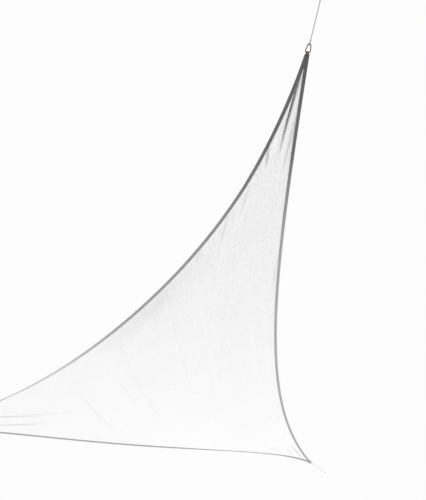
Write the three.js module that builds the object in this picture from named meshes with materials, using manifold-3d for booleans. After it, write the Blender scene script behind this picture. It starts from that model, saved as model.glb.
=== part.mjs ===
// Three-cornered shade sail: one hollow-cut cloth panel with folded edge bindings,
// a strap and a ring at each corner, and the cords on two of the corners.
// Millimetres, +Z up. The origin is where the top cord bears on the top ring.
import * as THREE from 'three';
import { mergeVertices } from 'three/addons/utils/BufferGeometryUtils.js';
import Module from 'manifold-3d';

const vec = (x, y, z) => new THREE.Vector3(x, y, z);

// Driving dimensions ------------------------------------------------------------

// The three corner points of the sail, each the centre of its ring's straight bar.
const corner = {
  top: vec(8, 31, -15),
  left: vec(-1436, 3077, -1267),
  right: vec(1892, 3077, -1353),
};

// Each edge curves inwards by sag and hangs down by dip, both as a share of its chord.
// lean moves the deepest point towards the edge's second corner, and ends fills the
// curve out near both of its corners. out is how far an edge swells outwards between
// the top corner and outEnd. The binding is turned about its outer edge by turn
// degrees at turnAt, and less on both sides of it, until turnReach away.
const edges = {
  left: {
    from: 'top', to: 'left', sag: 0.118, dip: 0.015, lean: -0.04, ends: 0.27,
    out: 3.4, outEnd: 0.18, turn: 27, turnAt: 0.84, turnReach: 0.26,
  },
  right: {
    from: 'top', to: 'right', sag: 0.064, dip: 0.014, lean: 0.29, ends: 0,
    out: 0, outEnd: 1, turn: 0, turnAt: 0.5, turnReach: 0.5,
  },
  foot: {
    from: 'left', to: 'right', sag: 0.07, dip: 0.033, lean: 0.3, ends: 0.66,
    out: 0, outEnd: 1, turn: -18, turnAt: 0.76, turnReach: 0.3,
  },
};

const tipHalfWidth = 11; // half the width of each cut-off corner tip
const tipGap = 6.5; // from the ring's bar to the ends of the bindings
const clothThickness = 1;
const bindingWidth = 18;
const bindingThickness = 4; // two layers of webbing with the cloth between them
const bindingWall = 1;
const mitreGap = 0.3;
const mitreReach = 320; // size of the block that cuts a mitre
const clothInset = 1.5; // from a binding's outer fold to the cloth's edge
const clothBend = 18.5; // where the cloth leaves the plane of a binding
const topOpening = 4; // width of the cloth's upper end between the two bindings

const rows = 42; // cloth stations down the sail
const columns = 28; // cloth stations along the foot
const rowBunching = 1.3; // above 1 brings the rows closer towards the top corner
const footShare = 1.5; // how quickly the foot's curve fades up the sail
const cornerBlend = 0.14; // share of an edge over which it turns into its corner's plane
const farthestReach = 0.3; // share of an edge within which its corner is searched
const halvings = 40;

// Folds and ridges of the cloth, each along a line between two places, which are in mm
// across to the right and down the slope from the top corner. bow bends the line to the
// right, width is the fold's half width and height is up out of the sail.
const folds = [
  { name: 'deep pleat', from: [12, 105], to: [115, 535], bow: -4, width: 5.5, height: 13 },
  { name: 'ridge beside the pleat', from: [60, 240], to: [168, 700], bow: -5, width: 10, height: -6 },
  { name: 'by right binding', from: [86, 260], to: [172, 610], bow: -4, width: 7, height: 6 },
  { name: 'long left ridge', from: [0, 860], to: [215, 1720], bow: -16, width: 30, height: -7 },
  { name: 'long middle', from: [120, 1100], to: [900, 2800], bow: -60, width: 80, height: -9 },
  { name: 'long right', from: [230, 900], to: [1180, 2780], bow: -40, width: 90, height: 8 },
  { name: 'broad left', from: [-120, 1450], to: [-330, 2300], bow: 0, width: 80, height: 8 },
];
const foldSwell = 0.7; // below 1 brings a fold's highest point nearer its upper end
const foldFade = 8; // how sharply folds end at the bindings

// Ring: outer radii of its wire, and where the arcs of its outline are centred.
const ringWire = 4.5;
const ringBevel = 1.32;
const ringCornerRadius = 10.5;
const ringCornerOut = 3.5; // half of the straight bar
const ringTopRadius = 10.5;
const ringTopUp = 29.25; // from the bar's centre to the centre of the top arc
const ringArcSteps = 5;

const strapWidth = 14;
const strapThickness = 1.2;
const strapLegLength = 12;
const strapBarGap = 1.7;
const strapRoundSteps = 8;

const cordDiameter = 5;
const cordSides = 8;
const cordStep = 12.5; // between the sections of a cord
const hitchRadius = 5.7; // from the ring's wire to the middle of the cord round it
const hitchUp = 38; // from the bar's centre to the middle of the turn of cord
const loopSteps = 20; // steps round a turn or an eye of cord
const eyeRadius = 14;
const knotRadius = 6;
const knotSides = 12;
const knotRings = 8;
const pieceGap = 0.3;

// Routes of the two cords, in mm in the sail's frame.
const topCordRoute = [
  [-2.6, -9.9, 4.9], [-5.7, -22, 10.8], [-9.1, -35.1, 17.2], [-12.5, -48.2, 23.6], [-15.9, -61.3, 30],
  [-19.3, -74.4, 36.4], [-22.7, -87.5, 42.8], [-26.1, -100.6, 49.3], [-29.5, -113.7, 55.8], [-32.9, -126.8, 62.3],
  [-36.3, -139.9, 68.8], [-39.7, -153, 75.4], [-43.1, -166.1, 82], [-46.5, -179.2, 88.6], [-49.9, -192.3, 95.3],
  [-53.3, -205.4, 102], [-56.7, -218.5, 108.7],
];
const rightCordRoute = [
  [1930.6, 3102.1, -1360.6], [1946.1, 3112.3, -1363.7], [1962.6, 3123.1, -1367], [1979.1, 3133.9, -1370.4],
  [1995.6, 3144.7, -1373.8], [2012.1, 3155.5, -1377.3], [2028.6, 3166.3, -1380.8], [2045.1, 3177.1, -1384.4],
  [2061.6, 3187.9, -1388], [2078.1, 3198.7, -1391.7], [2094.6, 3209.5, -1395.4], [2111.1, 3220.3, -1399.2],
  [2127.6, 3231.1, -1403], [2144.1, 3241.9, -1406.9], [2160.6, 3252.7, -1410.8], [2177.1, 3263.5, -1414.8],
  [2193.6, 3274.3, -1418.8],
];

// Finishes -----------------------------------------------------------------------

const finish = (color, roughness, metalness = 0) =>
  new THREE.MeshStandardMaterial({ color, roughness, metalness });
const clothFinish = () => finish('#f2f2f0', 0.85);
const bindingFinish = () => finish('#77787b', 0.8);
const strapFinish = () => finish('#6b5d52', 0.8);
const ringFinish = () => finish('#8d9096', 0.3, 1);
const topCordFinish = () => finish('#a39fb0', 0.7);
const rightCordFinish = () => finish('#cfcabd', 0.75);

// Edge curves ----------------------------------------------------------------------

const down = vec(0, 0, -1);

// Sum of vectors, each with its own weight.
function blend(...pairs) {
  const sum = vec(0, 0, 0);
  for (const [point, weight] of pairs) sum.addScaledVector(point, weight);
  return sum;
}

const minus = (a, b) => a.clone().sub(b);
const cross = (a, b) => a.clone().cross(b);

const planeNormal = cross(minus(corner.right, corner.top), minus(corner.left, corner.top)).normalize();
const chordDirection = minus(corner.right, corner.left).normalize();
const slopeDirection = cross(planeNormal, chordDirection);
const middle = blend([corner.top, 1 / 3], [corner.left, 1 / 3], [corner.right, 1 / 3]);

// The curve of an edge through its two corner points, before the tips are cut off.
function baseEdge(edge, t) {
  const from = corner[edge.from];
  const to = corner[edge.to];
  const chord = minus(to, from);
  const inward = cross(planeNormal, chord).normalize();
  if (inward.dot(minus(middle, from)) < 0) inward.negate();
  const bulge = 4 * t * (1 - t);
  const half = 2 * t - 1;
  const fullness = 1 + edge.lean * half + edge.ends * half * half;
  const length = chord.length();
  return blend(
    [from, 1 - t],
    [to, t],
    [inward, length * edge.sag * bulge * fullness],
    [down, length * edge.dip * bulge],
  );
}

const step = 1e-4;

// Direction in which an edge leaves one of its corners.
function leaving(edge, name) {
  const start = edge.from === name ? 0 : 1;
  const next = start === 0 ? step : 1 - step;
  return minus(baseEdge(edge, next), baseEdge(edge, start)).normalize();
}

// Each corner's own axes: inwards along its middle line, up out of its plane, and sideways.
function cornerAxes(name, first, second) {
  const a = leaving(first, name);
  const b = leaving(second, name);
  const inward = blend([a, 1], [b, 1]).normalize();
  const normal = cross(a, b).normalize();
  if (normal.z < 0) normal.negate();
  const side = cross(normal, inward).normalize();
  return { point: corner[name], inward, normal, side };
}

const axes = {
  top: cornerAxes('top', edges.left, edges.right),
  left: cornerAxes('left', edges.left, edges.foot),
  right: cornerAxes('right', edges.right, edges.foot),
};

// How far an edge lies to the side of a corner's point, because the tip is cut off.
function tipShift(edge, name) {
  const { side } = axes[name];
  return side.clone().multiplyScalar(Math.sign(leaving(edge, name).dot(side)) * tipHalfWidth);
}

function edgePoint(edge, t) {
  const swell = (edge.out / tipHalfWidth) * Math.sin(Math.PI * Math.min(t / edge.outEnd, 1));
  const shifts = [[tipShift(edge, edge.from), 1 - t], [tipShift(edge, edge.to), t]];
  return blend([baseEdge(edge, t), 1], ...shifts, [tipShift(edge, 'top'), swell]);
}

const edgeLength = (edge) => minus(corner[edge.to], corner[edge.from]).length();

// The point across the sail from a point of an edge, which sets the cloth's plane there.
function acrossFrom(edge, t) {
  if (edge === edges.left) return edgePoint(edges.right, t);
  if (edge === edges.right) return edgePoint(edges.left, t);
  return corner.top;
}

const smooth = (x) => x * x * (3 - 2 * x);

// Point, inward direction and upward normal of an edge at t.
function edgeFrame(edge, t) {
  const point = edgePoint(edge, t);
  const before = edgePoint(edge, Math.max(t - step, 0));
  const after = edgePoint(edge, Math.min(t + step, 1));
  const tangent = minus(after, before).normalize();
  const across = minus(acrossFrom(edge, t), point);
  const open = cross(tangent, across).normalize();
  if (open.z < 0) open.negate();
  const fromShare = 1 - smooth(Math.min(t / cornerBlend, 1));
  const toShare = 1 - smooth(Math.min((1 - t) / cornerBlend, 1));
  const openShare = 1 - fromShare - toShare;
  const { normal: fromNormal } = axes[edge.from];
  const { normal: toNormal } = axes[edge.to];
  const normal = blend([open, openShare], [fromNormal, fromShare], [toNormal, toShare]);
  const inward = cross(normal, tangent).normalize();
  if (inward.dot(across) < 0) inward.negate();
  const up = cross(tangent, inward).normalize();
  if (up.z < 0) up.negate();
  const fromTurn = Math.min(Math.abs(t - edge.turnAt) / edge.turnReach, 1);
  const turn = THREE.MathUtils.degToRad(edge.turn) * (1 - smooth(fromTurn)) * openShare;
  return {
    point,
    inward: blend([inward, Math.cos(turn)], [up, Math.sin(turn)]),
    up: blend([up, Math.cos(turn)], [inward, -Math.sin(turn)]),
  };
}

const inFrom = (frame, distance) => blend([frame.point, 1], [frame.inward, distance]);

// Where the cloth's bend line along an edge reaches the middle line of a corner.
function innerReach(edge, name, clear) {
  const { point, side } = axes[name];
  let near = 0;
  let far = farthestReach;
  for (let i = 0; i < halvings; i += 1) {
    const reach = (near + far) / 2;
    const t = edge.from === name ? reach : 1 - reach;
    const offset = minus(inFrom(edgeFrame(edge, t), clothBend), point).dot(side);
    const outer = minus(edgePoint(edge, t), point).dot(side);
    if (offset * Math.sign(outer) < clear) near = reach;
    else far = reach;
  }
  return edge.from === name ? near : 1 - near;
}

// Solids ---------------------------------------------------------------------------

// A closed mesh from its corners and triangles, turned so that its faces point out.
function closedGeometry(points, triangles) {
  let volume = 0;
  for (const [a, b, c] of triangles) volume += points[a].dot(cross(points[b], points[c]));
  const order = volume < 0 ? triangles.map(([a, b, c]) => [a, c, b]) : triangles;
  const geometry = new THREE.BufferGeometry();
  geometry.setAttribute('position', new THREE.Float32BufferAttribute(points.flatMap((p) => p.toArray()), 3));
  geometry.setIndex(order.flat());
  geometry.computeVertexNormals();
  return geometry;
}

function node(name, geometry, material) {
  const mesh = new THREE.Mesh(geometry, material);
  mesh.name = name;
  return mesh;
}

// Section swept through a row of frames. Each section point is [inwards, upwards].
// Every face is split from its outer side to the next frame's inner side, or the other
// way round, as the cloth beside it is.
function sweptStrip(frames, section, fromOuter) {
  const size = section.length;
  const points = frames.flatMap(({ point, inward, up }) =>
    section.map(([across, high]) => blend([point, 1], [inward, across], [up, high])));
  const triangles = [];
  for (let i = 0; i + 1 < frames.length; i += 1) {
    for (let k = 0; k < size; k += 1) {
      const a = i * size + k;
      const b = i * size + ((k + 1) % size);
      const outerFirst = section[k][0] <= section[(k + 1) % size][0];
      if (outerFirst === fromOuter) triangles.push([a, b, b + size], [a, b + size, a + size]);
      else triangles.push([a, b, a + size], [b, b + size, a + size]);
    }
  }
  const flat = section.map(([across, high]) => new THREE.Vector2(across, high));
  const last = (frames.length - 1) * size;
  for (const [a, b, c] of THREE.ShapeUtils.triangulateShape(flat, [])) {
    triangles.push([a, c, b], [last + a, last + b, last + c]);
  }
  return closedGeometry(points, triangles);
}

// Sheet of even thickness on a grid of points. Cells whose corners exist are filled.
function sheet(grid, normals, thickness) {
  const height = grid.length;
  const width = grid[0].length;
  const index = (i, j) => i * width + j;
  const here = [];
  const number = new Map();
  for (let i = 0; i < height; i += 1) {
    for (let j = 0; j < width; j += 1) {
      if (grid[i][j]) {
        number.set(index(i, j), here.length);
        here.push([grid[i][j], normals[i][j]]);
      }
    }
  }
  const half = thickness / 2;
  const above = here.map(([point, normal]) => blend([point, 1], [normal, half]));
  const below = here.map(([point, normal]) => blend([point, 1], [normal, -half]));
  const count = here.length;
  const triangles = [];
  const rim = new Map();
  for (let i = 0; i + 1 < height; i += 1) {
    for (let j = 0; j + 1 < width; j += 1) {
      const cell = [index(i, j), index(i, j + 1), index(i + 1, j + 1), index(i + 1, j)];
      const ring = cell.map((k) => number.get(k));
      if (ring.some((k) => k === undefined)) continue;
      const [a, b, c, d] = ring;
      triangles.push([a, b, c], [a, c, d]);
      triangles.push([a + count, c + count, b + count], [a + count, d + count, c + count]);
      ring.forEach((from, k) => {
        const to = ring[(k + 1) % 4];
        const back = `${to} ${from}`;
        if (rim.has(back)) rim.delete(back);
        else rim.set(`${from} ${to}`, [from, to]);
      });
    }
  }
  for (const [from, to] of rim.values()) {
    triangles.push([to, from, from + count], [to, from + count, to + count]);
  }
  return closedGeometry([...above, ...below], triangles);
}

const wasm = await Module();
wasm.setup();

function toManifold(geometry) {
  const bare = geometry.clone();
  bare.deleteAttribute('normal');
  bare.deleteAttribute('uv');
  const merged = mergeVertices(bare, 1e-3);
  const vertProperties = new Float32Array(merged.attributes.position.array);
  const triVerts = new Uint32Array(merged.index.array);
  return new wasm.Manifold(new wasm.Mesh({ numProp: 3, vertProperties, triVerts }));
}

function fromManifold(solid) {
  const mesh = solid.getMesh();
  const geometry = new THREE.BufferGeometry();
  geometry.setAttribute('position', new THREE.BufferAttribute(new Float32Array(mesh.vertProperties), 3));
  geometry.setIndex(new THREE.BufferAttribute(new Uint32Array(mesh.triVerts), 1));
  geometry.computeVertexNormals();
  return geometry;
}

// A corner's placement: x sideways, y outwards from the sail, z up out of its plane.
function cornerMatrix(name) {
  const { point, inward, normal, side } = axes[name];
  const outward = inward.clone().negate();
  const x = cross(outward, normal);
  return { matrix: new THREE.Matrix4().makeBasis(x, outward, normal).setPosition(point), side, x };
}

// Sail cloth ------------------------------------------------------------------------

// Stations of the cloth's rows on a side edge, from its upper end to its lower corner.
function rowStations(edge, lower) {
  const start = innerReach(edge, 'top', topOpening / 2);
  const end = innerReach(edge, lower, 0);
  return Array.from({ length: rows }, (_, i) => start + (end - start) * (i / (rows - 1)) ** rowBunching);
}

const leftStations = rowStations(edges.left, 'left');
const rightStations = rowStations(edges.right, 'right');
const footStart = innerReach(edges.foot, 'left', 0);
const footEnd = innerReach(edges.foot, 'right', 0);
const footStations = Array.from(
  { length: columns },
  (_, j) => footStart + (footEnd - footStart) * (j / (columns - 1)),
);

const leftFrames = leftStations.map((t) => edgeFrame(edges.left, t));
const rightFrames = rightStations.map((t) => edgeFrame(edges.right, t));
const footFrames = footStations.map((t) => edgeFrame(edges.foot, t));

// Height of the folds at a point of the sail.
function foldHeight(point) {
  const away = minus(point, corner.top);
  const x = away.dot(chordDirection);
  const y = away.dot(slopeDirection);
  let height = 0;
  for (const fold of folds) {
    const line = new THREE.Vector2(fold.to[0] - fold.from[0], fold.to[1] - fold.from[1]);
    const length = line.length();
    line.normalize();
    const run = ((x - fold.from[0]) * line.x + (y - fold.from[1]) * line.y) / length;
    if (run <= 0 || run >= 1) continue;
    const bow = fold.bow * 4 * run * (1 - run);
    const beside = ((x - fold.from[0]) * line.y - (y - fold.from[1]) * line.x - bow) / fold.width;
    height += fold.height * Math.sin(Math.PI * run ** foldSwell) * Math.exp(-beside * beside);
  }
  return height;
}

// Cloth points between the bend lines, with the foot's curve fading upwards.
function clothGrid() {
  const left = leftFrames.map((frame) => inFrom(frame, clothBend));
  const right = rightFrames.map((frame) => inFrom(frame, clothBend));
  const foot = footFrames.map((frame) => inFrom(frame, clothBend));
  foot[0] = blend([foot[0], 0.5], [left[rows - 1], 0.5]);
  foot[columns - 1] = blend([foot[columns - 1], 0.5], [right[rows - 1], 0.5]);
  left[rows - 1] = foot[0];
  right[rows - 1] = foot[columns - 1];
  const grid = [];
  for (let i = 0; i < rows; i += 1) {
    const along = i / (rows - 1);
    const share = (along ** rowBunching) ** footShare;
    const row = foot.map((point, j) => {
      const across = j / (columns - 1);
      const level = blend([left[i], 1 - across], [right[i], across]);
      const base = blend([foot[0], 1 - across], [foot[columns - 1], across]);
      const place = blend([level, 1], [point, share], [base, -share]);
      const fade = 1 - (2 * across - 1) ** foldFade;
      return place.addScaledVector(planeNormal, foldHeight(place) * fade);
    });
    grid.push([inFrom(leftFrames[i], clothInset), ...row, inFrom(rightFrames[i], clothInset)]);
  }
  grid.push([null, ...footFrames.map((frame) => inFrom(frame, clothInset)), null]);
  return grid;
}

// Upward normals of the grid: the bindings' own along the edges, the surface's elsewhere.
function clothNormals(grid) {
  return grid.map((row, i) => row.map((point, j) => {
    if (j <= 1 && i < rows) return leftFrames[i].up;
    if (j >= columns && i < rows) return rightFrames[i].up;
    if (!point) return null;
    if (i >= rows - 1) return footFrames[j - 1].up;
    const alongRow = minus(grid[i][j + 1], grid[i][j - 1]);
    const downRow = minus(grid[i + 1][j], grid[Math.max(i - 1, 0)][j]);
    const normal = cross(alongRow, downRow).normalize();
    if (normal.z < 0) normal.negate();
    return normal;
  }));
}

function sailCloth() {
  const grid = clothGrid();
  return node('sail_cloth', sheet(grid, clothNormals(grid), clothThickness), clothFinish());
}

// Edge bindings -----------------------------------------------------------------------

const bindingHalf = bindingThickness / 2;
const slotHalf = bindingHalf - bindingWall;

// Folded webbing: closed at the outer edge, open towards the cloth.
const bindingSection = [
  [0, -bindingHalf], [bindingWidth, -bindingHalf], [bindingWidth, -slotHalf], [bindingWall, -slotHalf],
  [bindingWall, slotHalf], [bindingWidth, slotHalf], [bindingWidth, bindingHalf], [0, bindingHalf],
];

const endSteps = 4;

// All stations of a binding: the cloth's own, and a few more out to each cut-off tip.
function bindingStations(edge, inner) {
  const tip = tipGap / edgeLength(edge);
  const first = inner[0];
  const last = inner[inner.length - 1];
  const before = Array.from({ length: endSteps }, (_, k) => tip + ((first - tip) * k) / endSteps);
  const after = Array.from({ length: endSteps }, (_, k) => last + ((1 - tip - last) * (k + 1)) / endSteps);
  return [...before, ...inner, ...after];
}

// Half-space beyond a corner's middle line, on the side away from an edge.
function mitreCutter(edge, name) {
  const { matrix, side, x } = cornerMatrix(name);
  const away = -Math.sign(leaving(edge, name).dot(side)) * Math.sign(side.dot(x));
  const box = new THREE.BoxGeometry(mitreReach, 2 * mitreReach, mitreReach);
  box.translate(away * (mitreReach / 2 - mitreGap / 2), 0, 0);
  return toManifold(box.applyMatrix4(matrix));
}

function binding(name, edge, inner) {
  const frames = bindingStations(edge, inner).map((t) => edgeFrame(edge, t));
  let solid = toManifold(sweptStrip(frames, bindingSection, edge === edges.left));
  solid = solid.subtract(mitreCutter(edge, edge.from));
  solid = solid.subtract(mitreCutter(edge, edge.to));
  return node(name, fromManifold(solid), bindingFinish());
}

// Corner rings, straps and hitches ---------------------------------------------------------

// The ring's outline, inset from its outer edge: two lower arcs and a top arc with
// straight sides that touch them.
function ringOutline(outline, inset) {
  const low = ringCornerRadius - ringWire / 2;
  const rise = ringTopUp - low;
  const taper = Math.asin((ringTopRadius - ringCornerRadius) / Math.hypot(ringCornerOut, rise));
  const lean = Math.atan2(ringCornerOut, rise) - taper;
  const corners = ringCornerRadius - inset;
  const top = ringTopRadius - inset;
  outline.absarc(ringCornerOut, low, corners, -Math.PI / 2, lean, false);
  outline.absarc(0, ringTopUp, top, lean, Math.PI - lean, false);
  outline.absarc(-ringCornerOut, low, corners, Math.PI - lean, 1.5 * Math.PI, false);
  outline.closePath();
  return outline;
}

function ringGeometry() {
  const shape = ringOutline(new THREE.Shape(), 0);
  shape.holes.push(ringOutline(new THREE.Path(), ringWire));
  const geometry = new THREE.ExtrudeGeometry(shape, {
    depth: ringWire - 2 * ringBevel,
    bevelThickness: ringBevel,
    bevelSize: ringBevel,
    bevelOffset: -ringBevel,
    bevelSegments: 1,
    curveSegments: ringArcSteps,
  });
  return geometry.translate(0, 0, -(ringWire / 2 - ringBevel));
}

// Webbing bent round the ring's bar, with its two legs along the faces of the corner.
function strapGeometry() {
  const inner = ringWire / 2 + strapBarGap;
  const outer = inner + strapThickness;
  const legInner = bindingHalf + pieceGap;
  const legOuter = legInner + strapThickness;
  const shape = new THREE.Shape();
  shape.moveTo(-strapLegLength, -legOuter);
  shape.lineTo(-tipGap / 2, -outer);
  shape.lineTo(0, -outer);
  shape.absarc(0, 0, outer, -Math.PI / 2, Math.PI / 2, false);
  shape.lineTo(-tipGap / 2, outer);
  shape.lineTo(-strapLegLength, legOuter);
  shape.lineTo(-strapLegLength, legInner);
  shape.lineTo(-tipGap / 2, inner);
  shape.lineTo(0, inner);
  shape.absarc(0, 0, inner, Math.PI / 2, -Math.PI / 2, true);
  shape.lineTo(-tipGap / 2, -inner);
  shape.lineTo(-strapLegLength, -legInner);
  shape.closePath();
  const geometry = new THREE.ExtrudeGeometry(shape, {
    depth: strapWidth,
    bevelEnabled: false,
    curveSegments: strapRoundSteps,
  });
  geometry.translate(0, 0, -strapWidth / 2);
  const turned = new THREE.Matrix4().makeBasis(vec(0, 1, 0), vec(0, 0, 1), vec(1, 0, 0));
  return geometry.applyMatrix4(turned);
}

// One turn of cord round the wire at the ring's top.
function hitchGeometry() {
  const geometry = new THREE.TorusGeometry(hitchRadius, cordDiameter / 2, cordSides, loopSteps);
  geometry.rotateY(Math.PI / 2);
  return geometry.translate(0, hitchUp, 0);
}

const placed = (name, geometry, cornerName, material) =>
  node(name, geometry.applyMatrix4(cornerMatrix(cornerName).matrix), material);

// Cords -----------------------------------------------------------------------------------

function regularSection(sides, radius) {
  const points = Array.from({ length: sides }, (_, k) => {
    const turn = (2 * Math.PI * k) / sides;
    return new THREE.Vector2(radius * Math.cos(turn), radius * Math.sin(turn));
  });
  return new THREE.Shape(points);
}

function cordGeometry(route) {
  const path = new THREE.CatmullRomCurve3(route.map((point) => vec(...point)));
  const shape = regularSection(cordSides, cordDiameter / 2);
  const steps = Math.round(path.getLength() / cordStep);
  return new THREE.ExtrudeGeometry(shape, { steps, extrudePath: path, bevelEnabled: false });
}

// Place just past the end of a route, in line with it, with y along the route.
function pastEnd(route, distance) {
  const end = vec(...route[route.length - 1]);
  const along = minus(end, vec(...route[route.length - 2])).normalize();
  const x = cross(along, vec(0, 0, 1)).normalize();
  const z = cross(x, along);
  return new THREE.Matrix4().makeBasis(x, along, z).setPosition(blend([end, 1], [along, distance]));
}

function eyeGeometry() {
  const half = cordDiameter / 2;
  const geometry = new THREE.TorusGeometry(eyeRadius, half, cordSides, loopSteps);
  return geometry.applyMatrix4(pastEnd(topCordRoute, eyeRadius + half + pieceGap));
}

function knotGeometry() {
  const geometry = new THREE.SphereGeometry(knotRadius, knotSides, knotRings);
  return geometry.applyMatrix4(pastEnd(rightCordRoute, knotRadius + pieceGap));
}

// The sail --------------------------------------------------------------------------------

const sail = new THREE.Group();
sail.add(sailCloth());
sail.add(binding('binding_left', edges.left, leftStations));
sail.add(binding('binding_right', edges.right, rightStations));
sail.add(binding('binding_foot', edges.foot, footStations));
for (const name of ['top', 'left', 'right']) {
  sail.add(placed(`ring_${name}`, ringGeometry(), name, ringFinish()));
  sail.add(placed(`strap_${name}`, strapGeometry(), name, strapFinish()));
}
sail.add(placed('hitch_top', hitchGeometry(), 'top', topCordFinish()));
sail.add(node('cord_top', cordGeometry(topCordRoute), topCordFinish()));
sail.add(node('eye_top', eyeGeometry(), topCordFinish()));
sail.add(placed('hitch_right', hitchGeometry(), 'right', rightCordFinish()));
sail.add(node('cord_right', cordGeometry(rightCordRoute), rightCordFinish()));
sail.add(node('knot_right', knotGeometry(), rightCordFinish()));

export default sail;
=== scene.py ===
import math

import bmesh
import bpy
from mathutils import Matrix, Vector


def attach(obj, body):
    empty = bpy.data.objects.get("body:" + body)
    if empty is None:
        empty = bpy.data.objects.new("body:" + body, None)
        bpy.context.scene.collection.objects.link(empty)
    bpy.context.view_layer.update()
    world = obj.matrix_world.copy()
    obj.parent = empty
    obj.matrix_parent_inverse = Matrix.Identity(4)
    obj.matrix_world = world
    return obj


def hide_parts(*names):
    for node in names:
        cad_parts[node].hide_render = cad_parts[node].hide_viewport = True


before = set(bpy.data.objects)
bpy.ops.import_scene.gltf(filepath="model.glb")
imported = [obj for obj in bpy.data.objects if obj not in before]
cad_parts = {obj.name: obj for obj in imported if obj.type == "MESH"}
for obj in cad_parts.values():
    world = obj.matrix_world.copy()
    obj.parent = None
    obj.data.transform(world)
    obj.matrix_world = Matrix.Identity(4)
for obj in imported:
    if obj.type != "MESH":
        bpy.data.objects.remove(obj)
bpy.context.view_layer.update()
print("frame loaded:", len(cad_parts), "nodes")

# the camera, below the sail and looking up

view = {
    "place": (-0.9737, -1.1202, -1.8951),
    "heading": 23.84,  # degrees from +Y towards +X
    "pitch": 30.0,  # degrees above level
    "focal": 480.0,  # for a frame whose long side is longSide
    "longSide": 500.0,
    "sensor": 36.0,  # millimetres
    "farthest": 200.0,
    "eyeHeight": 1.6,  # of the camera above the floor
}


def addObject(name, data):
    made = bpy.data.objects.new(name, data)
    bpy.context.scene.collection.objects.link(made)
    return made


def makeCamera():
    data = bpy.data.cameras.new("camera")
    data.sensor_width = view["sensor"]
    data.lens = view["sensor"] * view["focal"] / view["longSide"]
    data.clip_end = view["farthest"]
    camera = addObject("camera", data)
    camera.location = view["place"]
    camera.rotation_euler = (math.radians(90 + view["pitch"]), 0, -math.radians(view["heading"]))
    bpy.context.scene.camera = camera


makeCamera()

# the sail's outline, which every sewn piece follows

corner = {
    "top": Vector((0.008, 0.031, -0.015)),
    "left": Vector((-1.436, 3.077, -1.267)),
    "right": Vector((1.892, 3.077, -1.353)),
}

# sag inwards and dip downwards are shares of an edge's chord, and lean and ends shape the curve;
# out is how far an edge swells outwards between the top corner and outEnd;
# turn tips the binding about its outer fold, in degrees, most at turnAt and over turnReach
edges = {
    "left": {"from": "top", "to": "left", "sag": 0.118, "dip": 0.015, "lean": -0.04, "ends": 0.27,
             "out": 0.0034, "outEnd": 0.18, "turn": 27, "turnAt": 0.84, "turnReach": 0.26},
    "right": {"from": "top", "to": "right", "sag": 0.064, "dip": 0.014, "lean": 0.29, "ends": 0.0,
              "out": 0, "outEnd": 1, "turn": 0, "turnAt": 0.5, "turnReach": 0.5},
    "foot": {"from": "left", "to": "right", "sag": 0.07, "dip": 0.033, "lean": 0.3, "ends": 0.66,
             "out": 0, "outEnd": 1, "turn": -18, "turnAt": 0.76, "turnReach": 0.3},
}

outline = {
    "tipHalfWidth": 0.011,  # of a corner's flat end
    "tipGap": 0.0065,  # from a corner's point to the ends of its bindings
    "cornerBlend": 0.14,  # share of an edge over which it turns into the corner's plane
    "step": 1e-4,  # share of an edge over which its direction is taken
    "farthestReach": 0.3,  # how far from a corner mitres and the cloth's tips are looked for
    "halvings": 36,
}
touching = 1e-6  # points of a mesh that are closer than this are one

upwards = Vector((0, 0, 1))
chordDirection = (corner["right"] - corner["left"]).normalized()
planeNormal = (corner["right"] - corner["top"]).cross(corner["left"] - corner["top"]).normalized()
slopeDirection = planeNormal.cross(chordDirection)
middle = (corner["top"] + corner["left"] + corner["right"]) / 3


def smooth(share):
    return share * share * (3 - 2 * share)


def flatPlace(point):
    # metres across to the right and down the slope from the top corner
    away = point - corner["top"]
    return away.dot(chordDirection), away.dot(slopeDirection)


def facing(direction, way):
    # the direction, or its opposite where that points more this way
    return -direction if direction.dot(way) < 0 else direction


def chordLength(edge):
    return (corner[edge["to"]] - corner[edge["from"]]).length


def baseEdge(edge, t):
    start, end = corner[edge["from"]], corner[edge["to"]]
    chord = end - start
    inward = facing(planeNormal.cross(chord).normalized(), middle - start)
    bulge = 4 * t * (1 - t)
    half = 2 * t - 1
    fullness = 1 + edge["lean"] * half + edge["ends"] * half * half
    sag = inward * chord.length * edge["sag"] * bulge * fullness
    return start + chord * t + sag - upwards * chord.length * edge["dip"] * bulge


def leaving(edge, name):
    start = 0 if edge["from"] == name else 1
    following = outline["step"] if start == 0 else 1 - outline["step"]
    return (baseEdge(edge, following) - baseEdge(edge, start)).normalized()


def cornerAxes(name, first, second):
    a, b = leaving(first, name), leaving(second, name)
    normal = facing(a.cross(b).normalized(), upwards)
    inward = (a + b).normalized()
    side = normal.cross(inward).normalized()
    return {"point": corner[name], "inward": inward, "normal": normal, "side": side}


axes = {
    "top": cornerAxes("top", edges["left"], edges["right"]),
    "left": cornerAxes("left", edges["left"], edges["foot"]),
    "right": cornerAxes("right", edges["right"], edges["foot"]),
}


def ownSide(edgeName, name):
    # 1 or -1: the side of a corner's middle line on which an edge lies
    return math.copysign(1, leaving(edges[edgeName], name).dot(axes[name]["side"]))


def edgePoint(edgeName, t):
    edge = edges[edgeName]
    point = baseEdge(edge, t)
    for name, share in ((edge["from"], 1 - t), (edge["to"], t)):
        point += axes[name]["side"] * ownSide(edgeName, name) * outline["tipHalfWidth"] * share
    out = edge["out"] * math.sin(math.pi * min(t / edge["outEnd"], 1))
    return point + axes["top"]["side"] * ownSide(edgeName, "top") * out


def acrossFrom(edgeName, t):
    if edgeName == "foot":
        return corner["top"]
    return edgePoint("right" if edgeName == "left" else "left", t)


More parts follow.
